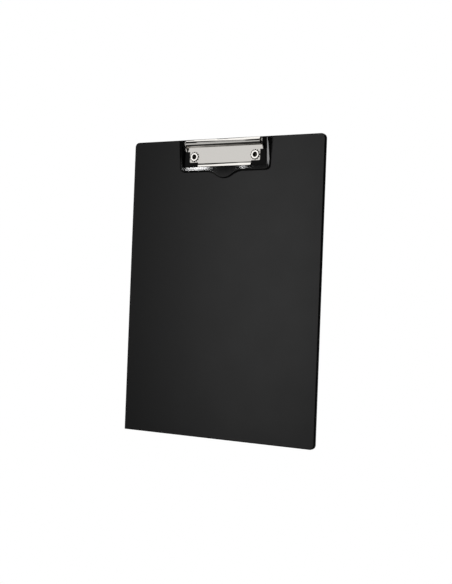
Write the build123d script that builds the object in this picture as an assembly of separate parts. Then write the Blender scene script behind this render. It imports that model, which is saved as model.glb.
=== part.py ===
from build123d import *
import os
from math import acos, cos, degrees, radians, sin, sqrt, tan

# An A4 clipboard, upright as it hangs: +X to the right seen from the front, +Y to the back, +Z up.
# Places are given as s, the distance down from the board's top edge, and h, the height out of its front face.
# The origin is on top of the clip's hinge pin, in the middle, where a hook carries it.

# Board: two welded vinyl covers around a stiff core
board_width = 230.0
board_height = 320.0
cover_skin = 0.6
core_thickness = 4.0
weld_rim = 3.0
core_play = 0.1
corner_radius = 5.0
cut_corner_radius = 0.8
edge_radius = 0.9

# Hinge of the clip
pin_radius = 1.25
pin_s = 4.7
pin_h = 3.85
pin_head_radius = 1.75
pin_head = 0.7
running_clearance = 0.05
side_gap = 0.2

# Base plate of the clip
base_sheet = 0.9
barrel_half_length = 44.6
curl_end = 325.0
hang_slot_half_width = 6.5
hang_slot_s = 2.1
ear_inner_x = 46.0
ear_head_radius = 2.2
ear_foot_s = 5.6
ear_shoulder_h = 2.0
shoulder_top_s = 7.4
shoulder_bottom_s = 13.3
plate_half_width = 42.4
plate_bottom_s = 25.0
tongue_half_width = 32.0
crease_s = 26.2
crease_radius = 5.0
tongue_bottom_s = 29.7
lip_angle = 20.0
plate_corner_radius = 1.0

# Lever of the clip
lever_sheet = 0.8
lever_half_width = 54.6
lever_bottom_s = 35.6
lever_corner_radius = 5.5
tab_bottom_s = 42.8
tab_radius = 17.0
tab_blend_radius = 22.0
bar_s = 33.0
bar_h = 3.0
lever_slope = 7.5
wall_draft = 10.0
shoulder_radius = 1.5
rail_radius = 3.0
window_half_width = 50.4
window_top_s = 8.4
window_bottom_s = 30.6
window_radius = 1.6
lever_end_radius = 3.5
lug_inner_x = 47.3
lug_bottom_s = 11.0

# Stock that the pressed shapes are cut from
stock_top_s = -12.0
stock_bottom_s = 60.0
stock_half_width = 70.0
stock_height = 7.1
stock_depth = 2.0

# Torsion springs
wire_radius = 0.35
coil_radius = 2.1
coil_pitch = 0.76
coil_turns = 5
coil_ear_gap = 1.2
hook_radius = 2.7
hook_angle = 150.0
hook_bend_radius = 0.6
tail_angle = 266.0
tail_length = 2.8

# Eyelets, their washers, and the seats pressed for them in the back
eyelet_x = 36.75
eyelet_s = 19.0
eyelet_bore_radius = 2.3
eyelet_tube_radius = 2.8
eyelet_flange_radius = 4.7
eyelet_flange = 0.9
flange_round = 0.6
eyelet_web = 0.8
eyelet_web_h = -1.6
eyelet_roll_radius = 4.1
eyelet_roll = 0.6
roll_round = 0.25
washer_radius = 7.0
washer_thickness = 0.5
washer_round = 0.2
hole_clearance = 0.1
seat_radius = 7.3

board_thickness = core_thickness + 2 * cover_skin
back_h = -board_thickness
middle_h = back_h / 2
washer_h = back_h + eyelet_roll + washer_thickness
origin_s = pin_s - pin_radius
rest_gap = pin_h - lever_end_radius


def y_at(h):
    """The Y of a height out of the board's front face."""
    return pin_h - h


def z_at(s):
    """The Z of a distance down from the board's top edge."""
    return origin_s - s


def front_plane(h):
    """The plane at height h, facing the front: its x is X and its y is Z."""
    return Plane.XZ.offset(h - pin_h)


def slab(outline, h_one, h_other):
    """The solid that an outline seen from the front fills between two heights."""
    low, high = sorted((h_one, h_other))
    return extrude(front_plane(low) * outline, amount=high - low)


def outline_down(half_width, s_from, s_to):
    """A rectangle on the front plane, centred on the board's middle line."""
    return Pos(0, z_at((s_from + s_to) / 2)) * Rectangle(2 * half_width, s_to - s_from)


def across(points):
    """A face across the clip at x = 0, from its (s, h) corners."""
    return make_face(Polyline([(0, y_at(h), z_at(s)) for s, h in points], close=True))


def disc_across(radius, s=pin_s, h=pin_h):
    """A disc across the clip at x = 0, on the hinge line unless told otherwise."""
    return Plane.YZ * Pos(y_at(h), z_at(s)) * Circle(radius)


def along_x(face, x_from, x_to):
    """The solid that a face across the clip sweeps between two X places."""
    return Pos(x_from, 0, 0) * extrude(face, amount=x_to - x_from, dir=(1, 0, 0))


def box_down(x_from, x_to, s_from, s_to, h_from, h_to):
    """A box between two places along each of X, s and h."""
    return along_x(across([(s_from, h_from), (s_to, h_from), (s_to, h_to), (s_from, h_to)]), x_from, x_to)


def hinge_point(angle, radius):
    """(s, h) at an angle round the hinge line: 0 points down the board and 90 straight out of it."""
    return pin_s + radius * cos(radians(angle)), pin_h + radius * sin(radians(angle))


def hinge_wedge(start, end, reach=9.0):
    """The space round the hinge line between two angles, as a face across the clip."""
    rim = [hinge_point(angle, reach) for angle in (start, (start + end) / 2, end)]
    return across([(pin_s, pin_h), *rim])


def board_outline(inset=0.0):
    """The board's outline: three round corners, and a nearly square one at the lower left."""
    outline = outline_down(board_width / 2 - inset, inset, board_height - inset)
    corners = outline.vertices()
    square = corners.sort_by(Axis.X)[:2].sort_by(Axis.Y)[0]
    outline = fillet([c for c in corners if c != square], max(corner_radius - inset, 0.5))
    square = outline.vertices().sort_by_distance((-board_width / 2, z_at(board_height), 0))[0]
    return fillet(square, max(cut_corner_radius - inset, 0.3))


def at_eyelets(radius, h_one, h_other):
    """Two discs on the eyelets' axes, between two heights."""
    return [slab(Pos(x, z_at(eyelet_s)) * Circle(radius), h_one, h_other) for x in (-eyelet_x, eyelet_x)]


def tube_holes():
    """The clearance holes for the eyelets' tubes, right through the board and the base plate."""
    return at_eyelets(eyelet_tube_radius + hole_clearance, back_h - stock_depth, base_sheet + stock_depth)


def cover(outer_h, skin_h):
    """A vinyl cover: a skin over one face of the board, with a rim that meets the other cover's half way."""
    sheet = slab(board_outline(), outer_h, middle_h)
    outer_face = sheet.faces().sort_by(lambda face: abs(face.center().Y - y_at(outer_h)))[0]
    sheet = fillet(outer_face.edges(), edge_radius)
    pocket = outline_down(board_width / 2 - weld_rim, weld_rim, board_height - weld_rim)
    sheet -= slab(pocket, skin_h, middle_h)
    return sheet - tube_holes()


def back_cover():
    """The back cover, with two pressed seats that let the washers and the eyelets' rims lie flush."""
    sheet = cover(back_h, back_h + cover_skin)
    sheet += at_eyelets(seat_radius + cover_skin, back_h, washer_h + cover_skin)
    sheet -= at_eyelets(seat_radius, back_h, washer_h)
    return sheet - tube_holes()


def core():
    """The stiff core sheet between the covers, pressed in behind the eyelets."""
    inset = weld_rim + core_play
    outline = outline_down(board_width / 2 - inset, inset, board_height - inset)
    sheet = slab(outline, back_h + cover_skin, -cover_skin)
    sheet -= at_eyelets(seat_radius + cover_skin + core_play, back_h, washer_h + cover_skin + core_play)
    return sheet - tube_holes()


def bent_lip():
    """The tongue's lip as a face across the clip: an easy bend out from the board, then a straight edge."""
    bend = radians(lip_angle)
    centre_h = base_sheet + crease_radius
    sides = []
    for radius in (crease_radius, centre_h):
        start = (crease_s, centre_h - radius)
        middle = (crease_s + radius * sin(bend / 2), centre_h - radius * cos(bend / 2))
        end = (crease_s + radius * sin(bend), centre_h - radius * cos(bend))
        straight = (tongue_bottom_s - end[0]) / cos(bend)
        tip = (tongue_bottom_s, end[1] + straight * sin(bend))
        sides.append([(0, y_at(h), z_at(s)) for s, h in (start, middle, end, tip)])
    inner, outer = sides
    return make_face([
        ThreePointArc(*inner[:3]), Line(*inner[2:]), Line(inner[3], outer[3]),
        Line(*outer[2:]), ThreePointArc(*outer[:3]), Line(outer[0], inner[0]),
    ])


def base_plate():
    """The fixed plate, pressed from one sheet: a field, a lipped tongue, a curled barrel and two ears."""
    field = outline_down(ear_inner_x + base_sheet, shoulder_top_s, shoulder_bottom_s)
    field += outline_down(plate_half_width, shoulder_top_s, plate_bottom_s)
    field += outline_down(tongue_half_width, shoulder_top_s, tongue_bottom_s)
    free_corners = [v for v in field.vertices() if v.Y < z_at(shoulder_bottom_s) - plate_corner_radius]
    field = fillet(free_corners, plate_corner_radius)
    field += outline_down(barrel_half_length, pin_s, shoulder_top_s)
    plate = slab(field, 0, base_sheet)
    plate -= box_down(-plate_half_width, plate_half_width, crease_s, tongue_bottom_s, 0, base_sheet)
    plate += along_x(bent_lip(), -tongue_half_width, tongue_half_width) & slab(field, 0, 2 * pin_h)
    tube = disc_across(pin_h) - disc_across(pin_h - base_sheet) - hinge_wedge(270, curl_end)
    plate += along_x(tube, -barrel_half_length, barrel_half_length)
    plate -= box_down(-hang_slot_half_width, hang_slot_half_width, 0, hang_slot_s, 0, 2 * pin_h)
    ear = across([
        hinge_point(270, ear_head_radius), (ear_foot_s, 0), (shoulder_bottom_s, 0),
        (shoulder_bottom_s, ear_shoulder_h), hinge_point(60, ear_head_radius), (pin_s, pin_h),
    ])
    ear += disc_across(ear_head_radius)
    ear = along_x(ear - disc_across(pin_radius), ear_inner_x, ear_inner_x + base_sheet)
    plate += [ear, mirror(ear, about=Plane.YZ)]
    return plate - tube_holes()


def lever_outline(inset):
    """The lever seen from the front: a frame with round lower corners and a thumb tab in the middle."""
    frame = outline_down(lever_half_width, stock_top_s, lever_bottom_s)
    frame = fillet(frame.vertices().sort_by(Axis.Y)[:2], lever_corner_radius)
    frame += Pos(0, z_at(tab_bottom_s - tab_radius)) * Circle(tab_radius)
    waist = frame.vertices().sort_by_distance((0, z_at(lever_bottom_s), 0))[:2]
    frame = fillet(waist, tab_blend_radius)
    return offset(frame, amount=-inset) if inset else frame


def lever_top(inset, s):
    """The height of the lever's sloping top, or of the plane one sheet below it."""
    return bar_h - inset / cos(radians(lever_slope)) + (bar_s - s) * tan(radians(lever_slope))


def rail_form(inset):
    """A long bar along the lever's slope with round upper edges, which shapes the backs of the side rails."""
    slope = radians(lever_slope)
    start = (0, y_at(lever_top(inset, bar_s)), z_at(bar_s))
    place = Plane(origin=start, x_dir=(1, 0, 0), z_dir=(0, -sin(slope), cos(slope)))
    bar = Pos(0, stock_half_width / 2) * Rectangle(2 * (lever_half_width - inset), stock_half_width)
    bar = fillet(bar.vertices().sort_by(Axis.Y)[:2], rail_radius - inset)
    return extrude(place * bar, amount=stock_bottom_s, both=True)


def lever_block(inset=0.0):
    """The lever's pressed form as a solid, or the same form one sheet further in."""
    draft = radians(wall_draft)
    outline = front_plane(rest_gap) * lever_outline(inset / cos(draft))
    block = extrude(outline, amount=stock_height, taper=wall_draft)
    below = across([
        (pin_s, -stock_depth), (stock_bottom_s, -stock_depth),
        (stock_bottom_s, lever_top(inset, stock_bottom_s)), (pin_s, lever_top(inset, pin_s)),
    ])
    behind = across([
        (stock_top_s, -stock_depth), (pin_s, -stock_depth),
        (pin_s, lever_top(inset, pin_s)), (stock_top_s, lever_top(inset, stock_top_s)),
    ])
    round_end = behind & disc_across(lever_end_radius - inset)
    block &= along_x(below + round_end, -stock_half_width, stock_half_width)
    slope = radians(lever_slope)
    top = block.faces().sort_by(Axis((0, 0, 0), (0, -cos(slope), -sin(slope))))[-1]
    return fillet(top.edges(), shoulder_radius - inset) & rail_form(inset)


def lever():
    """The sprung lever: a pressed frame round a wide window, with a thumb tab and a lug at each end."""
    block = lever_block()
    frame = block - lever_block(lever_sheet)
    opening = outline_down(window_half_width, window_top_s, window_bottom_s)
    opening = fillet(opening.vertices(), window_radius)
    frame -= slab(opening, -stock_depth, 2 * pin_h)
    open_top_s = window_top_s + window_radius
    frame -= box_down(-lug_inner_x, lug_inner_x, stock_top_s, open_top_s, -stock_depth, 2 * pin_h)
    lug_x = lug_inner_x + lever_sheet
    lug = block & box_down(lug_inner_x, lug_x, stock_top_s, lug_bottom_s, 0, 2 * pin_h)
    frame += [lug, mirror(lug, about=Plane.YZ)]
    frame -= along_x(disc_across(pin_radius + running_clearance), -lug_x, lug_x)
    hook_hole = disc_across(wire_radius + running_clearance, *hinge_point(hook_angle, hook_radius))
    return frame - along_x(hook_hole, -lug_x, lug_x)


def hinge_pin():
    """The pin, with a head formed at each end outside the lever's lugs."""
    head_x = lug_inner_x + lever_sheet + side_gap
    pin = along_x(disc_across(pin_radius), -head_x - pin_head, head_x + pin_head)
    for x in (-head_x - pin_head, head_x):
        pin += along_x(disc_across(pin_head_radius), x, x + pin_head)
    return pin


def hinge_vector(x, angle, radius):
    """A point round the hinge line in X, Y and Z."""
    s, h = hinge_point(angle, radius)
    return Vector(x, y_at(h), z_at(s))


def spring():
    """The right-hand torsion spring, hooked in the lever's lug and held by its tail in the barrel's seam."""
    outer_x = ear_inner_x - coil_ear_gap
    leave_angle = hook_angle + degrees(acos(coil_radius / hook_radius))
    length = coil_pitch * (coil_turns + (tail_angle - leave_angle) / 360)
    first = hinge_vector(0, tail_angle, 1) - hinge_vector(0, 0, 0)
    place = Plane(origin=hinge_vector(outer_x - length, 0, 0), x_dir=first, z_dir=(1, 0, 0))
    coil = place * Helix(coil_pitch, length, coil_radius)
    corner = coil @ 1 + (coil % 1) * sqrt(hook_radius ** 2 - coil_radius ** 2)
    hook_end = Vector(lug_inner_x + lever_sheet, corner.Y, corner.Z)
    hook = FilletPolyline(coil @ 1, corner, hook_end, radius=hook_bend_radius)
    tail = Line(coil @ 0 - (coil % 0) * tail_length, coil @ 0)
    path = Wire([*tail.edges(), *coil.edges(), *hook.edges()])
    return sweep(Plane(origin=tail @ 0, z_dir=tail % 0) * Circle(wire_radius), path=path)


def turned(corners, rounds):
    """A ring on each eyelet's axis, turned from its (radius, h) corners, some of them rounded."""
    section = make_face(Polyline([(radius, y_at(h)) for radius, h in corners], close=True))
    for radius, h, round_radius in rounds:
        corner = section.vertices().sort_by_distance((radius, y_at(h), 0))[0]
        section = fillet(corner, round_radius)
    ring = revolve(section, Axis.Y)
    return Compound([Pos(x, 0, z_at(eyelet_s)) * ring for x in (-eyelet_x, eyelet_x)])


def eyelets():
    """The two eyelets: a tube with a web across it, a rounded flange in front and a rolled rim behind."""
    front_h = base_sheet + eyelet_flange
    roll_h = back_h + eyelet_roll
    corners = [
        (0, eyelet_web_h), (eyelet_bore_radius, eyelet_web_h),
        (eyelet_bore_radius, front_h), (eyelet_flange_radius, front_h),
        (eyelet_flange_radius, base_sheet), (eyelet_tube_radius, base_sheet),
        (eyelet_tube_radius, roll_h), (eyelet_roll_radius, roll_h),
        (eyelet_roll_radius, back_h), (eyelet_bore_radius, back_h),
        (eyelet_bore_radius, eyelet_web_h - eyelet_web), (0, eyelet_web_h - eyelet_web),
    ]
    rounds = [
        (eyelet_bore_radius, front_h, flange_round), (eyelet_flange_radius, front_h, flange_round),
        (eyelet_roll_radius, back_h, roll_round), (eyelet_bore_radius, back_h, roll_round),
    ]
    return turned(corners, rounds)


def washers():
    """The washers that spread the eyelets' rims over the back cover's seats."""
    hole = eyelet_tube_radius + hole_clearance
    rim_h = washer_h - washer_thickness
    corners = [(hole, washer_h), (washer_radius, washer_h), (washer_radius, rim_h), (hole, rim_h)]
    return turned(corners, [(washer_radius, rim_h, washer_round)])


if __name__ == "__main__":
    os.makedirs("parts", exist_ok=True)
    right_spring = spring()
    pieces = {
        "front_cover": cover(0, -cover_skin),
        "back_cover": back_cover(),
        "core_board": core(),
        "clip_base_plate": base_plate(),
        "clip_lever": lever(),
        "hinge_pin": hinge_pin(),
        "right_spring": right_spring,
        "left_spring": mirror(right_spring, about=Plane.YZ),
        "eyelets": eyelets(),
        "eyelet_washers": washers(),
    }
    for name, shape in pieces.items():
        export_step(shape, f"parts/{name}.step")
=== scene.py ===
import bpy
from math import cos, pi, radians, sin
from mathutils import Matrix, Vector


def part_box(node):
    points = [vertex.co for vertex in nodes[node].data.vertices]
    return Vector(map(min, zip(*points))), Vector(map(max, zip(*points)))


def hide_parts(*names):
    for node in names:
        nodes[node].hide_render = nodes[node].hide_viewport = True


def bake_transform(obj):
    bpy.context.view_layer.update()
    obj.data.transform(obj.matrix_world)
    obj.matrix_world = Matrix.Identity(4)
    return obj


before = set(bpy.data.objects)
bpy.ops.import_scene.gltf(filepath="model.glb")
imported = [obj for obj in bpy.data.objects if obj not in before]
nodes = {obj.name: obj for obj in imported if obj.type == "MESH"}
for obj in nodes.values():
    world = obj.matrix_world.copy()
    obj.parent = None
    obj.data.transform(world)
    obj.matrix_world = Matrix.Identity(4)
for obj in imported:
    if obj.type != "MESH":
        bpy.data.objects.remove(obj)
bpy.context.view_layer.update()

# ---------------------------------------------------------------------------------------------------------
# The studio. A white sweep behind, and a pale floor under the clipboard, which stands upright in the air as
# it hangs on its hook. Each group of parts has its own soft boxes, so that plate, enamel and vinyl keep
# their own highlights.
MM = 0.001
board_low, board_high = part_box("front_cover")
front_y = board_low.y
board_middle = Vector((0, front_y, (board_low.z + board_high.z) / 2))
clip_low, clip_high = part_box("clip_base_plate")
clip_middle = (clip_low + clip_high) / 2


def aim(thing, target):
    """Turns a light or a card so that its -Z looks at the target."""
    thing.rotation_euler = (target - thing.location).to_track_quat("-Z", "Y").to_euler()


def seen_from(target, azimuth, elevation, distance):
    """A place seen from a target: azimuth 0 is straight out of the board's front, positive to the right."""
    flat = distance * cos(radians(elevation))
    return target + Vector((
        flat * sin(radians(azimuth)), -flat * cos(radians(azimuth)), distance * sin(radians(elevation)),
    ))


def srgb(code):
    """A hex colour as the linear colour that shaders take."""
    channels = [int(code[i:i + 2], 16) / 255 for i in (1, 3, 5)]
    return tuple(c / 12.92 if c <= 0.04045 else ((c + 0.055) / 1.055) ** 2.4 for c in channels) + (1.0,)


def add(material, kind, settings=None, **inputs):
    """Adds a shader node with its settings, and fills inputs, by name or _number, from sockets or values."""
    tree = material.node_tree
    node = tree.nodes.new(kind)
    for name, value in (settings or {}).items():
        if name in node.inputs:
            node.inputs[name].default_value = value
        else:
            setattr(node, name, value)
    for name, source in inputs.items():
        key = int(name[1:]) if name[1:].isdigit() else name.replace("_", " ")
        if isinstance(source, bpy.types.NodeSocket):
            tree.links.new(source, node.inputs[key])
        else:
            node.inputs[key].default_value = source
    return node


def new_material(name):
    """An empty material, ready for its nodes."""
    material = bpy.data.materials.new(name)
    material.use_nodes = True
    material.node_tree.nodes.clear()
    return material


floor_drop, floor_side = 0.6, 8
bpy.ops.object.select_all(action="DESELECT")
bpy.ops.mesh.primitive_plane_add(size=floor_side, location=(0, 0, board_low.z - floor_drop))
floor = bpy.context.object
floor.name = "floor"

# To the lens the floor is as white as the sweep; to the metal it is a plain pale floor.
floor_paint = new_material("pale_floor")
floor.data.materials.append(floor_paint)
paint = add(floor_paint, "ShaderNodeBsdfPrincipled", {"Base Color": srgb("#f4f4f4"), "Roughness": 0.9})
glow = add(floor_paint, "ShaderNodeEmission", {"Color": (1, 1, 1, 1), "Strength": 1.0})
lens = add(floor_paint, "ShaderNodeLightPath")
floor_look = add(floor_paint, "ShaderNodeMixShader", _0=lens.outputs["Is Camera Ray"], _1=paint.outputs[0],
                 _2=glow.outputs[0])
add(floor_paint, "ShaderNodeOutputMaterial", Surface=floor_look.outputs[0])

world = bpy.data.worlds.new("studio")
bpy.context.scene.world = world
world.use_nodes = True
world.node_tree.nodes.clear()
room = add(world, "ShaderNodeBackground", {"Color": srgb("#333333"), "Strength": 1.0})
sweep = add(world, "ShaderNodeBackground", {"Color": (1, 1, 1, 1), "Strength": 1.0})
seen = add(world, "ShaderNodeLightPath")
both = add(world, "ShaderNodeMixShader", _0=seen.outputs["Is Camera Ray"], _1=room.outputs[0],
           _2=sweep.outputs[0])
add(world, "ShaderNodeOutputWorld", Surface=both.outputs[0])


def light_group(name, *parts):
    """A group of carried-over parts that some of the soft boxes are kept for."""
    group = bpy.data.collections.new(name)
    for part in parts:
        group.objects.link(nodes[part])
    return group


clip_parts = light_group("clip_parts", "clip_base_plate", "eyelet_washers", "hinge_pin")
eyelet_parts = light_group("eyelet_parts", "eyelets")
lever_parts = light_group("lever_parts", "clip_lever")
cover_parts = light_group("cover_parts", "front_cover", "back_cover")
back_parts = light_group("back_parts", "back_cover")


def softbox(name, target, azimuth, elevation, distance, width, height, radiance, lit, shape="RECTANGLE"):
    """A soft box facing a target, for one group of parts, and unseen by the lens."""
    place = seen_from(target, azimuth, elevation, distance)
    bpy.ops.object.light_add(type="AREA", location=place)
    lamp = bpy.context.object
    lamp.name = name
    lamp.data.shape = shape
    lamp.data.size, lamp.data.size_y = width, height
    lamp.data.energy = radiance * pi * width * height
    aim(lamp, target)
    lamp.visible_camera = False
    lamp.light_linking.receiver_collection = lit


softbox("front_softbox", clip_middle, -30, 7.5, 1.55, 1.3, 0.34, 0.75, clip_parts)
softbox("eyelet_softbox", clip_middle, -30, 6, 1.55, 1.4, 0.6, 1.4, eyelet_parts)
softbox("ceiling_softbox", clip_middle, -55, 70, 1.55, 2.4, 2.0, 1.2, clip_parts)
softbox("low_card", clip_middle, -30, -38, 1.5, 2.6, 1.9, 0.6, clip_parts)
softbox("side_card", clip_middle, 62, 10, 1.5, 1.4, 2.0, 0.9, clip_parts)
softbox("lever_fill", clip_middle, -30, -16.44, 1.4, 1.6, 0.5, 0.45, lever_parts)
softbox("rail_softbox", clip_middle, 50, -7.5, 1.4, 2.6, 0.82, 6.5, lever_parts)
softbox("sheen_softbox", board_middle, -21.5, 4.2, 0.885, 0.25, 0.8, 2.7, cover_parts)

# Two narrow lights stand where the slope of the lever's lower bar mirrors them towards the lens. They give
# the bar its bright streak and spot.
bar_face = Vector((0, 0.7 * MM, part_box("clip_lever")[0].z + 11.9 * MM))
streak_place, spot_place = bar_face + Vector((-30 * MM, 0, 0)), bar_face + Vector((25 * MM, 0, 0))
softbox("streak_strip", streak_place, -30.5, -5.23, 0.5, 0.037, 0.0026, 62, lever_parts, "ELLIPSE")
softbox("spot_strip", spot_place, -27.9, -5.35, 0.5, 0.003, 0.003, 90, lever_parts, "ELLIPSE")

softbox("back_softbox", board_middle, 132, -20, 1.2, 0.6, 0.5, 2.2, back_parts)
softbox("back_clip_softbox", board_middle, 132, 0, 1.5, 1.2, 1.2, 0.8, clip_parts)
softbox("back_eyelet_softbox", board_middle, 132, 0, 1.5, 1.2, 1.2, 0.8, eyelet_parts)

# ---------------------------------------------------------------------------------------------------------
# The camera stands to the right of the clipboard and looks at it slightly upwards, as it hangs, with the
# whole board in view.
bpy.ops.object.camera_add()
camera = bpy.context.object
camera.name = "camera"
camera.data.sensor_width = 36.0
camera.data.lens = 60.4
camera.data.clip_end = 50.0
look = Vector((7.683, front_y / MM, -160.261)) * MM
distance, azimuth, elevation, roll = 1.03687, 28.677, -0.633, 2.177
back = Vector((
    sin(radians(azimuth)) * cos(radians(elevation)), -cos(radians(azimuth)) * cos(radians(elevation)),
    sin(radians(elevation)),
))
camera.location = look + distance * back
turn = back.to_track_quat("Z", "Y").to_matrix().to_4x4() @ Matrix.Rotation(radians(roll), 4, "Z")
camera.rotation_euler = turn.to_euler()
bpy.context.scene.camera = camera
bpy.context.scene.view_settings.view_transform = "Standard"

# ---------------------------------------------------------------------------------------------------------
# The covers: black PVC sheet, calendered with a fine matt grain and welded together at the rim by a heated
# die. The grain breaks the studio's light into a soft sheen.


def vinyl():
    """Calendered PVC: nearly black, with a fine leather-like grain and faint cloudiness from the rollers."""
    material = new_material("calendered_black_pvc")
    place = add(material, "ShaderNodeTexCoord")
    grain_mm, cloud_mm = 0.9, 35.0
    grain = add(material, "ShaderNodeTexNoise", {"Scale": 1000 / grain_mm, "Detail": 3.0, "Roughness": 0.6},
                Vector=place.outputs["Object"])
    cloud = add(material, "ShaderNodeTexNoise", {"Scale": 1000 / cloud_mm, "Detail": 2.0},
                Vector=place.outputs["Object"])
    tint = add(material, "ShaderNodeMix", {"data_type": "RGBA"}, _0=grain.outputs["Fac"], _6=srgb("#121213"),
               _7=srgb("#1a1a1b"))
    rough = add(material, "ShaderNodeMapRange", {"To Min": 0.38, "To Max": 0.43}, Value=cloud.outputs["Fac"])
    # The front sheet inside the clip is given a duller finish, so that the gaps round the plate stay dark.
    half_width, lowest, deepest = 52 * MM, -30 * MM, front_y + 0.5 * MM
    dull_roughness = 0.75
    parts = add(material, "ShaderNodeSeparateXYZ", Vector=place.outputs["Object"])
    width = add(material, "ShaderNodeMath", {"operation": "ABSOLUTE"}, _0=parts.outputs[0])
    inside = add(material, "ShaderNodeMath", {"operation": "LESS_THAN"}, _0=width.outputs[0], _1=half_width)
    above = add(material, "ShaderNodeMath", {"operation": "GREATER_THAN"}, _0=parts.outputs[2], _1=lowest)
    ahead = add(material, "ShaderNodeMath", {"operation": "LESS_THAN"}, _0=parts.outputs[1], _1=deepest)
    window = add(material, "ShaderNodeMath", {"operation": "MULTIPLY"}, _0=inside.outputs[0],
                 _1=above.outputs[0])
    window = add(material, "ShaderNodeMath", {"operation": "MULTIPLY"}, _0=window.outputs[0],
                 _1=ahead.outputs[0])
    finish = add(material, "ShaderNodeMix", {"data_type": "FLOAT"}, _0=window.outputs[0], _2=rough.outputs[0],
                 _3=dull_roughness)
    bump = add(material, "ShaderNodeBump", {"Strength": 0.25, "Distance": 0.05 * MM},
               Height=grain.outputs["Fac"])
    shader = add(material, "ShaderNodeBsdfPrincipled", {"IOR": 1.42}, Normal=bump.outputs[0],
                 Roughness=finish.outputs[0], Base_Color=tint.outputs[2])
    add(material, "ShaderNodeOutputMaterial", Surface=shader.outputs[0])
    return material


def dress(name, material):
    """Gives a carried-over part its finish."""
    nodes[name].data.materials.clear()
    nodes[name].data.materials.append(material)


cover_vinyl = vinyl()
dress("front_cover", cover_vinyl)
dress("back_cover", cover_vinyl)

# ---------------------------------------------------------------------------------------------------------
# The core: grey chipboard, pressed from waste paper and cut to size. It stiffens the board, and is hidden
# between the covers.


def greyboard():
    """Pressed waste-paper board: warm grey, dull, with darker fibres."""
    material = new_material("pressed_greyboard")
    place = add(material, "ShaderNodeTexCoord")
    fibre_mm = 1.5
    fibre = add(material, "ShaderNodeTexNoise", {"Scale": 1000 / fibre_mm, "Detail": 4.0},
                Vector=place.outputs["Object"])
    tint = add(material, "ShaderNodeMix", {"data_type": "RGBA"}, _0=fibre.outputs["Fac"], _6=srgb("#8a857c"),
               _7=srgb("#a8a49b"))
    shader = add(material, "ShaderNodeBsdfPrincipled", {"Roughness": 0.95}, Base_Color=tint.outputs[2])
    add(material, "ShaderNodeOutputMaterial", Surface=shader.outputs[0])
    return material


dress("core_board", greyboard())

# ---------------------------------------------------------------------------------------------------------
# The base plate: mild steel, pressed from one sheet with its barrel curled over the pin, and plated with
# bright nickel. The tumbling drum breaks its edges before it is plated.


def bright_metal(name, colour, roughness, spread, smear_mm, bump_depth):
    """Bright steel: a mirror with faint marks drawn out along the clip, and a slightly uneven polish."""
    material = new_material(name)
    place = add(material, "ShaderNodeTexCoord")
    stretch = add(material, "ShaderNodeMapping", {"Scale": (0.12, 1.0, 1.0)}, Vector=place.outputs["Object"])
    smear = add(material, "ShaderNodeTexNoise", {"Scale": 1000 / smear_mm, "Detail": 3.0},
                Vector=stretch.outputs[0])
    rough = add(material, "ShaderNodeMapRange", {"To Min": roughness, "To Max": roughness + spread},
                Value=smear.outputs["Fac"])
    bump = add(material, "ShaderNodeBump", {"Strength": 0.15, "Distance": bump_depth * MM},
               Height=smear.outputs["Fac"])
    shader = add(material, "ShaderNodeBsdfPrincipled", {"Base Color": srgb(colour), "Metallic": 1.0},
                 Roughness=rough.outputs[0], Normal=bump.outputs[0])
    add(material, "ShaderNodeOutputMaterial", Surface=shader.outputs[0])
    return material


def break_edges(name, width_mm):
    """Breaks a pressed part's sharp edges, as the tumbling drum does before it is finished."""
    weld = nodes[name].modifiers.new("weld", "WELD")
    weld.merge_threshold = 0.002 * MM
    bevel = nodes[name].modifiers.new("broken_edges", "BEVEL")
    bevel.width = width_mm * MM
    bevel.segments = 2
    bevel.limit_method = "ANGLE"
    bevel.angle_limit = radians(40)
    bevel.harden_normals = True


plate_metal = bright_metal("pressed_nickel_plate", "#e4e1dc", 0.03, 0.04, 3.0, 0.02)
dress("clip_base_plate", plate_metal)
break_edges("clip_base_plate", 0.15)

# ---------------------------------------------------------------------------------------------------------
# The eyelets: drawn from thin sheet and nickel plated, with a rounded flange in front. Behind, the tube is
# rolled over a plain plated washer. A broken dark line round each flange is painted on the plate as painted
# shade.
eyelet_low, eyelet_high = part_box("eyelets")
flange_radius = (eyelet_high.z - eyelet_low.z) / 2
eyelet_x = eyelet_high.x - flange_radius
eyelet_z = (eyelet_high.z + eyelet_low.z) / 2


def eyelet_place(material):
    """The distance from the nearer eyelet's axis, and the angle round it."""
    place = add(material, "ShaderNodeTexCoord")
    parts = add(material, "ShaderNodeSeparateXYZ", Vector=place.outputs["Object"])
    side = add(material, "ShaderNodeMath", {"operation": "ABSOLUTE"}, _0=parts.outputs[0])
    across = add(material, "ShaderNodeMath", {"operation": "SUBTRACT"}, _0=side.outputs[0], _1=eyelet_x)
    up = add(material, "ShaderNodeMath", {"operation": "SUBTRACT"}, _0=parts.outputs[2], _1=eyelet_z)
    flat = add(material, "ShaderNodeCombineXYZ", _0=across.outputs[0], _1=up.outputs[0])
    reach = add(material, "ShaderNodeVectorMath", {"operation": "LENGTH"}, _0=flat.outputs[0])
    angle = add(material, "ShaderNodeMath", {"operation": "ARCTAN2"}, _0=up.outputs[0], _1=across.outputs[0])
    return reach.outputs["Value"], angle.outputs[0]


def refinish(material, mask, colour, roughness=None):
    """Gives a metal another colour, and a (bare, masked) pair of roughnesses, where the mask is 1."""
    shader = [n for n in material.node_tree.nodes if n.type == "BSDF_PRINCIPLED"][0]
    bare = tuple(shader.inputs["Base Color"].default_value)
    mix = add(material, "ShaderNodeMix", {"data_type": "RGBA"}, _0=mask, _6=bare, _7=srgb(colour))
    material.node_tree.links.new(mix.outputs[2], shader.inputs["Base Color"])
    if roughness:
        rough = add(material, "ShaderNodeMix", {"data_type": "FLOAT"}, _0=mask, _2=roughness[0],
                    _3=roughness[1])
        material.node_tree.links.new(rough.outputs[0], shader.inputs["Roughness"])


# Painted shade: a broken dark ring is painted into the plate's colour round each eyelet, where the flange
# meets the plate.
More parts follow.
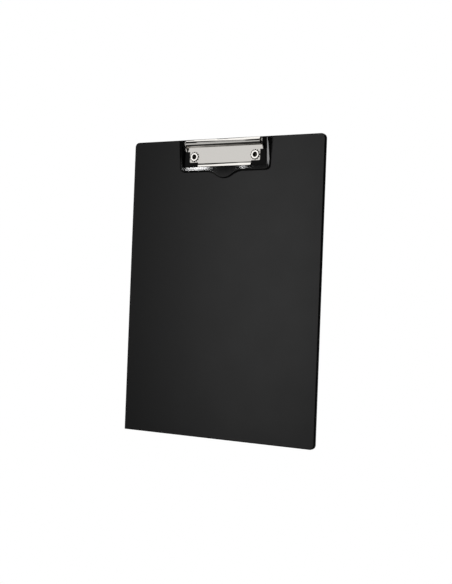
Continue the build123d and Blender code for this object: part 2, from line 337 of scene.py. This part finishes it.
petal_count, petal_gap = 12, -0.45
shade_ring_start, shade_ring_end = flange_radius - 0.2 * MM, flange_radius + 0.9 * MM
reach, angle = eyelet_place(plate_metal)
turns = add(plate_metal, "ShaderNodeMath", {"operation": "MULTIPLY"}, _0=angle, _1=petal_count)
petals = add(plate_metal, "ShaderNodeMath", {"operation": "COSINE"}, _0=turns.outputs[0])
dashes = add(plate_metal, "ShaderNodeMath", {"operation": "GREATER_THAN"}, _0=petals.outputs[0], _1=petal_gap)
outer = add(plate_metal, "ShaderNodeMath", {"operation": "GREATER_THAN"}, _0=reach, _1=shade_ring_start)
inner = add(plate_metal, "ShaderNodeMath", {"operation": "LESS_THAN"}, _0=reach, _1=shade_ring_end)
painted_shade_ring = add(plate_metal, "ShaderNodeMath", {"operation": "MULTIPLY"}, _0=outer.outputs[0], _1=inner.outputs[0])
line = add(plate_metal, "ShaderNodeMath", {"operation": "MULTIPLY"}, _0=painted_shade_ring.outputs[0], _1=dashes.outputs[0])
refinish(plate_metal, line.outputs[0], "#1c1a19")

# The bore is painted darker than the flange, as painted shade inside the hole, and is given a duller
# roughness.
bore_radius, flange_roughness, bore_roughness = 2.35 * MM, 0.26, 0.7
eyelet_metal = bright_metal("bright_nickel_eyelet", "#f2efea", 0.22, 0.08, 2.0, 0.02)
dress("eyelets", eyelet_metal)
reach = eyelet_place(eyelet_metal)[0]
painted_bore_shade = add(eyelet_metal, "ShaderNodeMath", {"operation": "LESS_THAN"}, _0=reach, _1=bore_radius)
refinish(eyelet_metal, painted_bore_shade.outputs[0], "#9a968f", (flange_roughness, bore_roughness))
dress("eyelet_washers", bright_metal("bright_nickel_plate", "#e4e1dc", 0.05, 0.06, 3.0, 0.02))

# ---------------------------------------------------------------------------------------------------------
# The hinge pin: drawn steel wire, plated. It runs through the barrel, the ears and the lever's lugs, and a
# head is formed at each end.
dress("hinge_pin", bright_metal("drawn_steel_wire", "#b9b7b3", 0.2, 0.1, 0.8, 0.02))

# ---------------------------------------------------------------------------------------------------------
# The springs: hard-drawn wire, coiled round the pin. Each tail stays in the barrel's seam while its hook goes
# round with the lever, so the coil winds between its inner and outer ends.
merge_reach = 0.001 * MM
spring_wire = bright_metal("spring_wire", "#8d8b87", 0.3, 0.1, 0.6, 0.01)
for name, side in (("left_spring", -1), ("right_spring", 1)):
    dress(name, spring_wire)
    wire = bpy.data.objects.new(name + "_wire", nodes[name].data.copy())
    bpy.context.scene.collection.objects.link(wire)
    clip_parts.objects.link(wire)
    wire.matrix_world = nodes[name].matrix_world
    bpy.ops.object.select_all(action="DESELECT")
    wire.select_set(True)
    bpy.context.view_layer.objects.active = wire
    bpy.ops.object.mode_set(mode="EDIT")
    bpy.ops.mesh.select_all(action="SELECT")
    bpy.ops.mesh.remove_doubles(threshold=merge_reach)
    bpy.ops.object.mode_set(mode="OBJECT")
    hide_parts(name)
    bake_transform(wire)

# ---------------------------------------------------------------------------------------------------------
# The lever: mild steel, pressed into a frame with a thumb tab, tumbled, and stove enamelled in gloss black.
# It turns on the hinge pin by its two lugs.


def enamel():
    """Stove enamel: deep black under a glossy skin, with slight orange peel."""
    material = new_material("black_stove_enamel")
    place = add(material, "ShaderNodeTexCoord")
    peel_mm = 1.2
    peel = add(material, "ShaderNodeTexNoise", {"Scale": 1000 / peel_mm, "Detail": 2.0},
               Vector=place.outputs["Object"])
    rough = add(material, "ShaderNodeMapRange", {"To Min": 0.05, "To Max": 0.08}, Value=peel.outputs["Fac"])
    bump = add(material, "ShaderNodeBump", {"Strength": 0.2, "Distance": 0.02 * MM},
               Height=peel.outputs["Fac"])
    shader = add(material, "ShaderNodeBsdfPrincipled", {"Base Color": srgb("#050505"), "IOR": 1.5},
                 Roughness=rough.outputs[0], Normal=bump.outputs[0])
    add(material, "ShaderNodeOutputMaterial", Surface=shader.outputs[0])
    return material


dress("clip_lever", enamel())
break_edges("clip_lever", 0.2)
